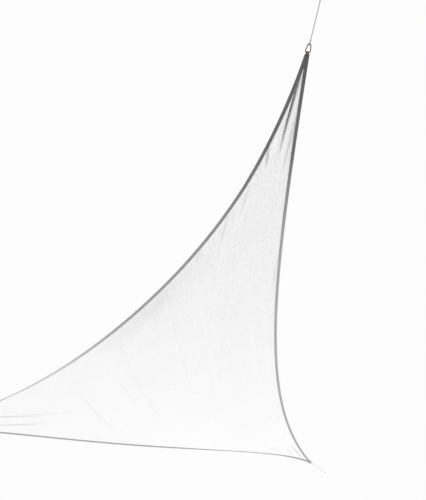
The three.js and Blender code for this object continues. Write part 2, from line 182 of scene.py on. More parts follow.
def edgeFrame(edgeName, t):
    # a point of the edge with the directions into the cloth and up out of it
    edge = edges[edgeName]
    point = edgePoint(edgeName, t)
    before = edgePoint(edgeName, max(t - outline["step"], 0))
    after = edgePoint(edgeName, min(t + outline["step"], 1))
    tangent = (after - before).normalized()
    across = acrossFrom(edgeName, t) - point
    openNormal = facing(tangent.cross(across).normalized(), upwards)
    fromShare = 1 - smooth(min(t / outline["cornerBlend"], 1))
    toShare = 1 - smooth(min((1 - t) / outline["cornerBlend"], 1))
    openShare = 1 - fromShare - toShare
    normal = openNormal * openShare
    normal += axes[edge["from"]]["normal"] * fromShare + axes[edge["to"]]["normal"] * toShare
    inward = facing(normal.cross(tangent).normalized(), across)
    up = facing(tangent.cross(inward).normalized(), upwards)
    fromTurn = min(abs(t - edge["turnAt"]) / edge["turnReach"], 1)
    turn = math.radians(edge["turn"]) * (1 - smooth(fromTurn)) * openShare
    return {
        "point": point,
        "inward": inward * math.cos(turn) + up * math.sin(turn),
        "up": up * math.cos(turn) - inward * math.sin(turn),
    }


def fromMiddleLine(point, edgeName, name):
    # how far a point is from a corner's middle line, on the side where the edge lies
    return (point - axes[name]["point"]).dot(axes[name]["side"]) * ownSide(edgeName, name)


def innerReach(edgeName, name, inset, clear):
    # how far along an edge a line this far inside it comes clear of the corner's middle line
    fromHere = edges[edgeName]["from"] == name
    near, far = 0.0, outline["farthestReach"]
    for _ in range(outline["halvings"]):
        reach = (near + far) / 2
        found = edgeFrame(edgeName, reach if fromHere else 1 - reach)
        if fromMiddleLine(found["point"] + found["inward"] * inset, edgeName, name) < clear:
            near = reach
        else:
            far = reach
    return near if fromHere else 1 - near


def cornerPlace(name):
    # x sideways, y outwards from the sail, z up out of the corner's plane
    found = axes[name]
    outward = -found["inward"]
    sideways = outward.cross(found["normal"])
    place = Matrix((sideways, outward, found["normal"])).transposed().to_4x4()
    place.translation = found["point"]
    return place


# how pieces are made


def sweptGrid(acrossCount, alongCount, place, flat, closed=False):
    # a grid whose points are put by place(i, j); flat(i, j) gives the pattern's place in metres
    bm = bmesh.new()
    bmesh.ops.create_grid(bm, x_segments=acrossCount, y_segments=alongCount, size=0.5)
    layer = bm.loops.layers.uv.new("flat")
    numbers = {
        vert: (round((vert.co.x + 0.5) * acrossCount), round((vert.co.y + 0.5) * alongCount))
        for vert in bm.verts
    }
    for vert, (i, j) in numbers.items():
        vert.co = place(i, j)
    for face in bm.faces:
        for loop in face.loops:
            loop[layer].uv = flat(*numbers[loop.vert])
    if closed:
        bmesh.ops.remove_doubles(bm, verts=bm.verts, dist=touching)
        fillHoles(bm)
    return bm


def fillHoles(bm):
    openEdges = [edge for edge in bm.edges if edge.is_boundary]
    if openEdges:
        bmesh.ops.holes_fill(bm, edges=openEdges, sides=0)
    bmesh.ops.recalc_face_normals(bm, faces=bm.faces)


def meshOf(bm, name):
    mesh = bpy.data.meshes.new(name)
    bm.to_mesh(mesh)
    bm.free()
    return mesh


def finishPiece(bm, name, nodes=()):
    piece = addObject(name, meshOf(bm, name))
    for polygon in piece.data.polygons:
        polygon.use_smooth = True
    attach(piece, "root")
    if nodes:
        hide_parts(*nodes)
    return piece


def thicken(piece, thickness):
    solidify = piece.modifiers.new("thickness", "SOLIDIFY")
    solidify.thickness = thickness
    solidify.offset = 0


def carriedFrames(points, closed=False):
    # a point, a side and an upward direction at each point, turned as little as can be
    count = len(points)
    frames = []
    side = None
    for i, point in enumerate(points):
        if closed:
            tangent = (points[(i + 1) % count] - points[i - 1]).normalized()
        else:
            tangent = (points[min(i + 1, count - 1)] - points[max(i - 1, 0)]).normalized()
        if side is None:
            side = tangent.orthogonal().normalized()
        side = (side - tangent * side.dot(tangent)).normalized()
        frames.append((point, side, tangent.cross(side)))
    return frames


def evenPoints(route, spacing):
    points = [Vector(point) for point in route]
    found = []
    for start, end in zip(points, points[1:]):
        count = max(1, round((end - start).length / spacing))
        found += [start.lerp(end, k / count) for k in range(count)]
    return found + [points[-1]]


def reachAlong(line):
    # how far along a line each of its points is
    found = [0.0]
    for start, end in zip(line, line[1:]):
        found.append(found[-1] + math.dist(start, end))
    return found


def routeLength(route, closed=False):
    return reachAlong([*route, route[0]] if closed else route)[-1]


def tube(points, radius, sides, closed=False):
    # radius is a function of the share along and the angle round
    frames = carriedFrames(points, closed)
    spans = len(points) - (0 if closed else 1)
    length = routeLength(points, closed)

    def place(i, j):
        point, side, other = frames[j % len(frames)]
        angle = 2 * math.pi * i / sides
        return point + (side * math.cos(angle) + other * math.sin(angle)) * radius(j / spans, angle)

    def flat(i, j):
        return i / sides, length * j / spans

    return sweptGrid(sides, spans, place, flat, closed=True)


def threadTube(points, diameter, sides):
    return tube(points, lambda share, angle: diameter / 2, sides)


def roundLoop(centre, first, second, radius, steps):
    # points evenly round a circle that starts towards first and turns towards second
    found = []
    for k in range(steps):
        angle = 2 * math.pi * k / steps
        found.append(centre + (first * math.cos(angle) + second * math.sin(angle)) * radius)
    return found


# cords

cord = {
    "diameter": 0.005,
    "sides": 24,
    "spacing": 0.0009,  # of its rows of points
    "braidPitch": 0.016,
    "strands": 4,  # each way round
    "braidDepth": 0.0003,
    "endTaper": 0.6,  # of the first and last row
}

topCordRoute = [
    (-0.0026, -0.0099, 0.0049), (-0.0057, -0.022, 0.0108), (-0.0091, -0.0351, 0.0172),
    (-0.0125, -0.0482, 0.0236), (-0.0159, -0.0613, 0.030), (-0.0193, -0.0744, 0.0364),
    (-0.0227, -0.0875, 0.0428), (-0.0261, -0.1006, 0.0493), (-0.0295, -0.1137, 0.0558),
    (-0.0329, -0.1268, 0.0623), (-0.0363, -0.1399, 0.0688), (-0.0397, -0.153, 0.0754),
    (-0.0431, -0.1661, 0.082), (-0.0465, -0.1792, 0.0886), (-0.0499, -0.1923, 0.0953),
    (-0.0533, -0.2054, 0.102), (-0.0567, -0.2185, 0.1087),
]
rightCordRoute = [
    (1.9306, 3.1021, -1.3606), (1.9461, 3.1123, -1.3637), (1.9626, 3.1231, -1.367),
    (1.9791, 3.1339, -1.3704), (1.9956, 3.1447, -1.3738), (2.0121, 3.1555, -1.3773),
    (2.0286, 3.1663, -1.3808), (2.0451, 3.1771, -1.3844), (2.0616, 3.1879, -1.388),
    (2.0781, 3.1987, -1.3917), (2.0946, 3.2095, -1.3954), (2.1111, 3.2203, -1.3992),
    (2.1276, 3.2311, -1.403), (2.1441, 3.2419, -1.4069), (2.1606, 3.2527, -1.4108),
    (2.1771, 3.2635, -1.4148), (2.1936, 3.2743, -1.4188),
]


def braid(points, closed=False, radius=cord["diameter"] / 2):
    turns = max(1, round(routeLength(points, closed) / cord["braidPitch"]))
    spans = len(points) - 1

    def braidedRadius(share, angle):
        twist = 2 * math.pi * turns * share
        oneWay = math.cos(cord["strands"] * angle + twist * cord["strands"] / 2)
        otherWay = math.cos(cord["strands"] * angle - twist * cord["strands"] / 2)
        found = radius - cord["braidDepth"] * (1 - oneWay * otherWay) / 2
        atEnd = not closed and min(share, 1 - share) * spans < 0.5
        return found * cord["endTaper"] if atEnd else found

    return tube(points, braidedRadius, cord["sides"], closed)


def joined(*meshes):
    # puts the faces of several meshes in one
    whole = bmesh.new()
    for part in meshes:
        mesh = meshOf(part, "part")
        whole.from_mesh(mesh)
        bpy.data.meshes.remove(mesh)
    return whole


whipping = {"turns": 7, "thread": 0.0009, "pitch": 0.001, "stepsPerTurn": 24, "sides": 6}


def whippingMesh(start, along):
    # thread wound round a cord from start
    side = along.orthogonal().normalized()
    other = along.cross(side)
    reach = (cord["diameter"] + whipping["thread"]) / 2
    points = []
    for k in range(whipping["turns"] * whipping["stepsPerTurn"] + 1):
        turn = k / whipping["stepsPerTurn"]
        angle = 2 * math.pi * turn
        level = start + along * whipping["pitch"] * turn
        points.append(level + (side * math.cos(angle) + other * math.sin(angle)) * reach)
    return threadTube(points, whipping["thread"], whipping["sides"])


hitch = {"radius": 0.0057, "fromBar": 0.038, "steps": 60, "whippingFrom": 0.0012}


def hitchMesh(name, route):
    # one turn of cord round the ring's crown, whipped to the cord that leaves it
    place = cornerPlace(name)
    crown = Vector((0, hitch["fromBar"], 0))
    turn = roundLoop(crown, Vector((0, 1, 0)), Vector((0, 0, 1)), hitch["radius"], hitch["steps"])
    start, following = Vector(route[0]), Vector(route[1])
    along = (following - start).normalized()
    whipped = whippingMesh(start + along * hitch["whippingFrom"], along)
    return joined(braid([place @ point for point in turn], closed=True), whipped)


def pastEnd(route):
    # the end of a route and three directions there: onwards, sideways and up
    end, before = Vector(route[-1]), Vector(route[-2])
    along = (end - before).normalized()
    side = along.cross(upwards).normalized()
    return end, along, side, side.cross(along)


eye = {"radius": 0.014, "steps": 96, "gap": 0.0003, "whippingBack": 0.009}


def eyeMesh():
    end, along, side, _ = pastEnd(topCordRoute)
    centre = end + along * (eye["radius"] + cord["diameter"] / 2 + eye["gap"])
    loop = roundLoop(centre, along, side, eye["radius"], eye["steps"])
    whipped = whippingMesh(end - along * eye["whippingBack"], along)
    return joined(braid(loop, closed=True), whipped)


knot = {
    "size": 0.0021,
    "thickness": 0.0042,
    "steps": 150,
    "start": -0.42,  # where round the loop it begins, in half turns
    "leftOpen": 0.2,  # radians
    "depth": 1.3,  # of its crossings
    "gap": 0.0075,  # from the cord's end to its middle
}


def knotMesh():
    # an overhand knot: most of a three-lobed loop, with its two ends left open
    end, along, side, up = pastEnd(rightCordRoute)
    centre = end + along * knot["gap"]
    whole = 2 * math.pi - knot["leftOpen"]
    points = []
    for k in range(knot["steps"] + 1):
        turn = knot["start"] * math.pi + whole * k / knot["steps"]
        x = math.sin(turn) + 2 * math.sin(2 * turn)
        y = math.cos(turn) - 2 * math.cos(2 * turn)
        z = -math.sin(3 * turn) * knot["depth"]
        points.append(centre + (side * x + along * y + up * z) * knot["size"])
    return braid(points, radius=knot["thickness"] / 2)


def runMesh(route):
    return braid(evenPoints(route, cord["spacing"]))


def makeCords():
    topCord = finishPiece(runMesh(topCordRoute), "cord_top_rope", ["cord_top"])
    rightCord = finishPiece(runMesh(rightCordRoute), "cord_right_rope", ["cord_right"])
    topTurn = hitchMesh("top", topCordRoute)
    topHitch = finishPiece(topTurn, "hitch_top_turn", ["hitch_top"])
    rightTurn = hitchMesh("right", rightCordRoute)
    rightHitch = finishPiece(rightTurn, "hitch_right_turn", ["hitch_right"])
    topEye = finishPiece(eyeMesh(), "eye_top_loop", ["eye_top"])
    rightKnot = finishPiece(knotMesh(), "knot_right_overhand", ["knot_right"])
    round(routeLength(topCordRoute), 3)
    round(routeLength(rightCordRoute), 3)
    return {"cord_grey": [topCord, topHitch, topEye], "cord_cream": [rightCord, rightHitch, rightKnot]}


cords = makeCords()
print("cords made")

# edge bindings

binding = {
    "width": 0.018,
    "half": 0.0017,  # half its thickness
    "wall": 0.0009,  # one layer of the webbing
    "spacing": 0.012,  # of its rows of points
    "mitreGap": 0.0003,
    "foldSteps": 6,
}


def bindingSection():
    # folded webbing from its lower lip round the outer fold to the upper lip, then back inside
    width, half, wall = binding["width"], binding["half"], binding["wall"]
    steps = binding["foldSteps"]
    fold = []
    for k in range(steps + 1):
        angle = math.pi * k / steps
        fold.append((half * (1 - math.sin(angle)), -half * math.cos(angle)))
    inner = half - wall
    outside = [(width, -half), (width / 2, -half), *fold, (width / 2, half), (width, half)]
    inside = [(width, inner), (2 * wall, inner), (2 * wall, -inner), (width, -inner)]
    return outside + inside


def mitre(bm, edgeName, name):
    # cuts a binding off at the corner's middle line
    own = ownSide(edgeName, name)
    point, side = axes[name]["point"], axes[name]["side"]
    near = [vert for vert in bm.verts if (vert.co - point).length < outline["farthestReach"]]
    faces = {face for vert in near for face in vert.link_faces}
    lines = {line for face in faces for line in face.edges}
    verts = {vert for face in faces for vert in face.verts}
    bmesh.ops.bisect_plane(bm, geom=[*verts, *lines, *faces], dist=touching, clear_outer=True,
                           plane_co=point + side * own * binding["mitreGap"] / 2, plane_no=side * -own)
    fillHoles(bm)


def makeBinding(edgeName):
    edge = edges[edgeName]
    chord = chordLength(edge)
    tip = outline["tipGap"] / chord
    count = round(chord / binding["spacing"])
    section = bindingSection()
    frames = [edgeFrame(edgeName, tip + (1 - 2 * tip) * j / count) for j in range(count + 1)]
    reach = reachAlong([*section, section[0]])

    def place(i, j):
        across, high = section[i % len(section)]
        found = frames[j]
        return found["point"] + found["inward"] * across + found["up"] * high

    def flat(i, j):
        return reach[i], chord * j / count

    bm = sweptGrid(len(section), count, place, flat, closed=True)
    for name in (edge["from"], edge["to"]):
        mitre(bm, edgeName, name)
    return finishPiece(bm, "binding_" + edgeName + "_webbing", ["binding_" + edgeName])


bindings = [makeBinding(edgeName) for edgeName in edges]
print("bindings made")

# stitches along the bindings

stitch = {
    "pitch": 0.005,
    "stations": 4,  # points along each stitch
    "thread": 0.0008,
    "rise": 0.0006,  # how far the thread goes up and down through the webbing
    "proud": 0.25,  # share of the rise that stands above the webbing
    "inset": 0.0028,  # from a binding's inner lip
    "clear": 0.003,  # from a corner's middle line
    "sides": 5,
}


def seamMesh(frames):
    # a thread that shows above the surface for most of each stitch and dips between stitches
    points = []
    for k, (point, up) in enumerate(frames):
        phase = math.cos(2 * math.pi * k / stitch["stations"])
        points.append(point + up * stitch["rise"] * (stitch["proud"] - max(0, phase)))
    return threadTube(points, stitch["thread"], stitch["sides"])


def clearOfMitres(edgeName, point):
    names = edges[edgeName]["from"], edges[edgeName]["to"]
    return min(fromMiddleLine(point, edgeName, name) for name in names) >= stitch["clear"]


def makeBindingStitches(edgeName):
    count = round(chordLength(edges[edgeName]) / stitch["pitch"]) * stitch["stations"]
    above, below = [], []
    for k in range(1, count):
        found = edgeFrame(edgeName, k / count)
        point = found["point"] + found["inward"] * (binding["width"] - stitch["inset"])
        if clearOfMitres(edgeName, point):
            above.append((point + found["up"] * binding["half"], found["up"]))
            below.append((point - found["up"] * binding["half"], -found["up"]))
    return finishPiece(joined(seamMesh(above), seamMesh(below)), "stitches_" + edgeName)


stitches = [makeBindingStitches(edgeName) for edgeName in edges]
print("stitches made:", sum(len(piece.data.polygons) for piece in stitches), "faces")

# sail cloth

cloth = {
    "inset": 0.004,  # from a binding's outer fold to the cloth's cut edge
    "bend": 0.0185,  # where the cloth leaves the plane of a binding
    "topOpening": 0.004,  # width of its upper end
    "thickness": 0.0009,
    "columns": 176,
    "rows": 226,
    "rowBunching": 1.5,  # above 1 puts the rows closer together near the top
    "footShare": 1.5,  # above 1 keeps the foot's curve to the lower rows
    "foldSwell": 0.7,  # below 1 brings a fold's highest point nearer its upper end
    "foldFade": 8,  # how sharply folds end at the bindings
}


def rowsOf(columns, rows):
    return {name: dict(zip(columns, row)) for name, row in rows.items()}


# from and to are metres across to the right and down the slope from the top corner;
# bow bends a line to the right, width is half of a fold's own, height is up out of the sail
folds = rowsOf(("from", "to", "bow", "width", "height"), {
    "deep pleat": ((0.018, 0.105), (0.11, 0.535), -0.0035, 0.0055, 0.013),
    "ridge beside the pleat": ((0.06, 0.24), (0.168, 0.7), -0.005, 0.01, -0.006),
    "by right binding": ((0.086, 0.26), (0.172, 0.61), -0.004, 0.007, 0.006),
    "short tuck": ((0.03, 0.44), (0.066, 0.6), -0.003, 0.005, 0.003),
    "left tuck": ((0.035, 0.68), (0.057, 0.93), -0.003, 0.007, 0.003),
    "lower tuck": ((-0.016, 0.86), (0.028, 1.12), -0.002, 0.008, 0.003),
    "long left ridge": ((0, 0.86), (0.215, 1.72), -0.016, 0.03, -0.007),
    "long middle": ((0.12, 1.1), (0.9, 2.8), -0.06, 0.08, -0.009),
    "long right": ((0.23, 0.9), (1.18, 2.78), -0.04, 0.09, 0.008),
    "broad left": ((-0.12, 1.45), (-0.33, 2.3), 0, 0.08, 0.008),
})


def lineThrough(fold):
    # a fold's or crease's first point, its direction and its length
    (x0, y0), (x1, y1) = fold["from"], fold["to"]
    length = math.hypot(x1 - x0, y1 - y0)
    return x0, y0, (x1 - x0) / length, (y1 - y0) / length, length


def foldHeight(point):
    across, slope = flatPlace(point)
    height = 0.0
    for fold in folds.values():
        x0, y0, alongX, alongY, length = lineThrough(fold)
        run = ((across - x0) * alongX + (slope - y0) * alongY) / length
        if 0 < run < 1:
            bow = fold["bow"] * 4 * run * (1 - run)
            away = ((across - x0) * alongY - (slope - y0) * alongX - bow) / fold["width"]
            swell = math.sin(math.pi * run ** cloth["foldSwell"])
            height += fold["height"] * swell * math.exp(-away * away)
    return height


def clothFrames(edgeName, shares):
    # frames of an edge at shares of the stretch that the flat of the cloth lies along
    ends = []
    for name in (edges[edgeName]["from"], edges[edgeName]["to"]):
        clear = cloth["topOpening"] / 2 if name == "top" else 0
        ends.append(innerReach(edgeName, name, cloth["bend"], clear))
    start, end = ends
    return [edgeFrame(edgeName, start + (end - start) * share) for share in shares]


def makeCloth():
    rows, columns = cloth["rows"], cloth["columns"]
    bend, inset = cloth["bend"], cloth["inset"]
    bunched = [(i / (rows - 1)) ** cloth["rowBunching"] for i in range(rows)]
    leftFrames = clothFrames("left", bunched)
    rightFrames = clothFrames("right", bunched)
    footFrames = clothFrames("foot", [j / (columns - 1) for j in range(columns)])

    def inFrom(found, distance):
        return found["point"] + found["inward"] * distance

    left = [inFrom(found, bend) for found in leftFrames]
    right = [inFrom(found, bend) for found in rightFrames]
    foot = [inFrom(found, bend) for found in footFrames]
    left[-1] = foot[0] = (left[-1] + foot[0]) / 2
    right[-1] = foot[-1] = (right[-1] + foot[-1]) / 2
    placed = {}

    def place(i, j):
        # i counts across with a tuck at both ends, j down with a tuck at the foot
        column, row = i - 1, min(j, rows - 1)
        if j == rows:
            k = min(max(column, 0), columns - 1)
            point = inFrom(footFrames[k], inset)
        elif column < 0:
            point = inFrom(leftFrames[row], inset)
        elif column >= columns:
            point = inFrom(rightFrames[row], inset)
        else:
            across = column / (columns - 1)
            level = left[row].lerp(right[row], across)
            lift = foot[column] - foot[0].lerp(foot[-1], across)
            level += lift * bunched[row] ** cloth["footShare"]
            fade = 1 - (2 * across - 1) ** cloth["foldFade"]
            point = level + planeNormal * foldHeight(level) * fade
        placed[i, j] = flatPlace(point)
        return point

    return sweptGrid(columns + 1, rows, place, lambda i, j: placed[i, j])


def makeClothPiece():
    bm = makeCloth()
    # the grid's two corners where the foot's tuck meets the sides' tucks are left out
    bm.verts.ensure_lookup_table()
    across = cloth["columns"] + 2
    tips = [bm.verts[cloth["rows"] * across], bm.verts[cloth["rows"] * across + across - 1]]
    bmesh.ops.delete(bm, geom=tips, context="VERTS")
    bmesh.ops.recalc_face_normals(bm, faces=bm.faces)
    piece = finishPiece(bm, "sail_cloth_sheet", ["sail_cloth"])
    thicken(piece, cloth["thickness"])
    return piece


sailCloth = makeClothPiece()
print("cloth made:", len(sailCloth.data.polygons), "faces")

# rings

ring = {
    "wire": 0.0045,
    "cornerRadius": 0.0105,  # outside, as topRadius is
    "cornerOut": 0.0035,  # from the ring's middle line to the lower arcs' middles
    "topRadius": 0.0105,
    "topFromBar": 0.02925,  # to the top arc's middle
    "arcSteps": 16,
    "sides": 16,
    "spacing": 0.0011,
    "weldAt": 0.62,  # share of the way round
    "weldLength": 0.016,  # as weldAt is
    "weldHeight": 0.1,  # share of the wire
}


def ringPoints(name):
    # middle of the wire: two lower arcs and a top arc, with straight sides that touch them
    half = ring["wire"] / 2
    low = ring["cornerRadius"] - half
    rise = ring["topFromBar"] - low
    taper = math.asin((ring["topRadius"] - ring["cornerRadius"]) / math.hypot(ring["cornerOut"], rise))
    lean = math.atan2(ring["cornerOut"], rise) - taper
    arcs = [
        (ring["cornerOut"], low, ring["cornerRadius"] - half, -math.pi / 2, lean),
        (0, ring["topFromBar"], ring["topRadius"] - half, lean, math.pi - lean),
        (-ring["cornerOut"], low, ring["cornerRadius"] - half, math.pi - lean, 1.5 * math.pi),
    ]
    line = []
    for x, y, radius, start, end in arcs:
        for k in range(ring["arcSteps"] + 1):
            angle = start + (end - start) * k / ring["arcSteps"]
            line.append(Vector((x + radius * math.cos(angle), y + radius * math.sin(angle), 0)))
    place = cornerPlace(name)
    return [place @ point for point in evenPoints(line + [line[0]], ring["spacing"])[:-1]]


def makeRing(name):
    def radius(share, angle):
        away = (share - ring["weldAt"]) / ring["weldLength"]
        return ring["wire"] / 2 * (1 + ring["weldHeight"] * math.exp(-away * away))

    bm = tube(ringPoints(name), radius, ring["sides"], closed=True)
    return finishPiece(bm, "ring_" + name + "_wire", ["ring_" + name])


rings = [makeRing(name) for name in axes]
print("rings made")

# corner straps

strap = {
    "width": 0.014,
    "thickness": 0.0011,
    "barGap": 0.0015,  # between it and the ring's wire
    "legLength": 0.012,
    "legInner": 0.0021,  # from the corner's plane to a leg
    "roundSteps": 12,
    "acrossSteps": 8,
    "barEnd": 0.0065,  # where a leg leaves the corner's flat face
}


def strapLine(offset):
    # the strap from the side, round the bar: outwards and up
    inner = ring["wire"] / 2 + strap["barGap"] + offset
    leg = strap["legInner"] + offset
    half = strap["barEnd"] / 2
    line = [(-strap["legLength"], -leg), (-strap["barEnd"], -leg), (-half, -(leg + inner) / 2)]
    for k in range(strap["roundSteps"] + 1):
        angle = -math.pi / 2 + math.pi * k / strap["roundSteps"]
        line.append((inner * math.cos(angle), inner * math.sin(angle)))
    return line + [(-half, (leg + inner) / 2), (-strap["barEnd"], leg), (-strap["legLength"], leg)]


def makeStrap(name):
    place = cornerPlace(name)
    line = strapLine(strap["thickness"] / 2)
    reach = reachAlong(line)

    def across(i):
        return (i / strap["acrossSteps"] - 0.5) * strap["width"]

    def point(i, j):
        return place @ Vector((across(i), *line[j]))

    bm = sweptGrid(strap["acrossSteps"], len(line) - 1, point, lambda i, j: (across(i), reach[j]))
    piece = finishPiece(bm, "strap_" + name + "_webbing", ["strap_" + name])
    thicken(piece, strap["thickness"])
    return piece


# from and to are outwards from the ring's bar
strapSeam = {"halfWidth": 0.0052, "from": -0.0112, "to": -0.0072, "stitches": 2}


def makeStrapStitches(name):
    # a box of stitches with a cross in it, on both legs
    place = cornerPlace(name)
    half, low, high = strapSeam["halfWidth"], strapSeam["from"], strapSeam["to"]
    corners = [Vector((x, y, 0)) for x, y in ((-half, low), (half, low), (half, high), (-half, high))]
    lines = [(corners[k], corners[(k + 1) % 4]) for k in range(4)]
    lines += [(corners[0], corners[2]), (corners[1], corners[3])]
    outer = strap["legInner"] + strap["thickness"]
    count = strapSeam["stitches"] * stitch["stations"]
    seams = []
    for start, end in lines:
        for way in (-1, 1):
            lift = Vector((0, 0, way * outer))
            up = axes[name]["normal"] * way
            points = [place @ (start.lerp(end, k / count) + lift) for k in range(count + 1)]
            seams.append(seamMesh([(point, up) for point in points]))
    return finishPiece(joined(*seams), "stitches_strap_" + name)


straps = [makeStrap(name) for name in axes]
strapStitches = [makeStrapStitches(name) for name in axes]
print("straps made")

# finishes


def screenColour(red, green, blue):
    # 0 to 255 as seen on a screen, as the linear colour that a shader takes
    found = []
    for value in (red, green, blue):
        share = value / 255
        found.append(share / 12.92 if share <= 0.04045 else ((share + 0.055) / 1.055) ** 2.4)
    return (*found, 1.0)


class Wire:
    # a shader socket that sums, differences and products can be written with
    def __init__(self, finish, socket):
        self.finish = finish
        self.socket = socket

    def __add__(self, other):
        return self.finish.worked("ADD", self, other)

    def __sub__(self, other):
        return self.finish.worked("SUBTRACT", self, other)

    def __rsub__(self, other):
        return self.finish.worked("SUBTRACT", other, self)

    def __mul__(self, other):
        return self.finish.worked("MULTIPLY", self, other)

    __radd__ = __add__
    __rmul__ = __mul__


class Finish:
    def __init__(self, name):
        self.material = bpy.data.materials.new(name)
        self.material.use_nodes = True
        self.tree = self.material.node_tree
        self.tree.nodes.clear()

    def node(self, kind, settings=None, inputs=None, output=0):
        made = self.tree.nodes.new(kind)
        for key, value in (settings or {}).items():
            if key == "stops":
                ramp = made.color_ramp
                while len(ramp.elements) < len(value):
                    ramp.elements.new(0.5)
                for element, (position, colour) in zip(ramp.elements, value):
                    element.position = position
                    element.color = colour
            else:
                setattr(made, key, value)
        for key, value in (inputs or {}).items():
            if isinstance(value, Wire):
                self.tree.links.new(value.socket, made.inputs[key])
            else:
                made.inputs[key].default_value = value
        return Wire(self, made.outputs[output]) if len(made.outputs) else None

    def worked(self, operation, *values):
        return self.node("ShaderNodeMath", {"operation": operation}, dict(enumerate(values)))

    def clamped(self, value):
        # held between 0 and 1
        return self.node("ShaderNodeClamp", None, {"Value": value})

    def mixed(self, share, first, second):
        return self.node("ShaderNodeMix", {"data_type": "RGBA"}, {0: share, 6: first, 7: second}, 2)

    def objectPlace(self):
        return self.node("ShaderNodeTexCoord", None, None, "Object")

    def apart(self, place):
        # the x and the y of a place
        split = self.node("ShaderNodeSeparateXYZ", None, {0: place}).socket.node
        return Wire(self, split.outputs[0]), Wire(self, split.outputs[1])

    def flat(self):
        # the piece's own pattern coordinates, in metres
        return self.apart(self.node("ShaderNodeUVMap", {"uv_map": "flat"}))

    def noise(self, place, scale, detail=3.0, roughness=0.5):
        return self.node("ShaderNodeTexNoise", None,
                         {"Vector": place, "Scale": scale, "Detail": detail, "Roughness": roughness})

    def stretched(self, u, v, size):
        # noise of a different size across and along
        place = self.node("ShaderNodeCombineXYZ", None, {0: u * (1 / size[0]), 1: v * (1 / size[1])})
        return self.noise(place, 1.0, detail=2.0)

    def wave(self, coordinate, pitch):
        # from 0 to 1 and back over each pitch
        return self.worked("SINE", coordinate * (2 * math.pi / pitch)) * 0.5 + 0.5

    def bump(self, height, look):
        return self.node("ShaderNodeBump", None,
                         {"Strength": look["bump"], "Distance": look["bumpDepth"], "Height": height})

    def face(self, colour, roughness, normal, gloss=0.5, metal=0.0):
        return self.node("ShaderNodeBsdfPrincipled", None, {
            "Base Color": colour, "Roughness": roughness, "Normal": normal,
            "Specular IOR Level": gloss, "Metallic": metal})

    def translucent(self, colour, normal):
        return self.node("ShaderNodeBsdfTranslucent", None, {"Color": colour, "Normal": normal})

    def blended(self, share, first, second):
        return self.node("ShaderNodeMixShader", None, {0: share, 1: first, 2: second})

    def surface(self, shader):
        self.node("ShaderNodeOutputMaterial", None, {"Surface": shader})
        return self.material


def paint(pieces, material):
    for piece in pieces:
        piece.data.materials.clear()
        piece.data.materials.append(material)


clothFinish = {
    "white": screenColour(253, 253, 253),
    "worn": screenColour(246, 246, 247),
    "paintedTopShade": screenColour(248, 248, 249),  # painted shade, darker towards the top corner
    "creaseShade": screenColour(96, 96, 98),
    # painted highlight on the cloth's ridges
    "paintedRidgeHighlight": screenColour(255, 255, 255),
    "knitShadow": screenColour(216, 215, 214),
    "cloudScale": 3.0,
    "grainScale": 90.0,
    "cloudWear": 0.6,
    "grainWear": 0.3,
    "topShading": 1.15,  # of the painted shade at the top corner, where 1 and above is full
    "topShadeLess": 0.5,  # for each metre down
    "cloudTopShade": 0.2,
    # sizes across and down of the knit's unevenness, and how much each counts
    "uneven": [((0.0036, 0.006), 3.0), ((0.0095, 0.012), 4.4), ((0.016, 0.14), 1.2)],
    "unevenFrom": 4.1,  # the sum above which uneven places show
    "unevenShade": 0.5,  # at the top corner
    "unevenLess": 0.135,  # for each metre down
    "waleSlope": 0.184,  # how far the knit's lines lean to the right for each metre down
    "waleBow": 0.08,  # and how much more they lean lower down
    "wale": 0.0032,  # pitch of the knit's upright lines
    "course": 0.0046,  # pitch of its rungs
    "waleBump": 0.7,
    "courseBump": 0.3,
    "grainBump": 0.5,
    "bump": 0.5,
    "bumpDepth": 0.0004,
    "roughness": 0.85,
    "gloss": 0.2,
    "letThrough": 0.35,  # share of the light that comes through from the back
}
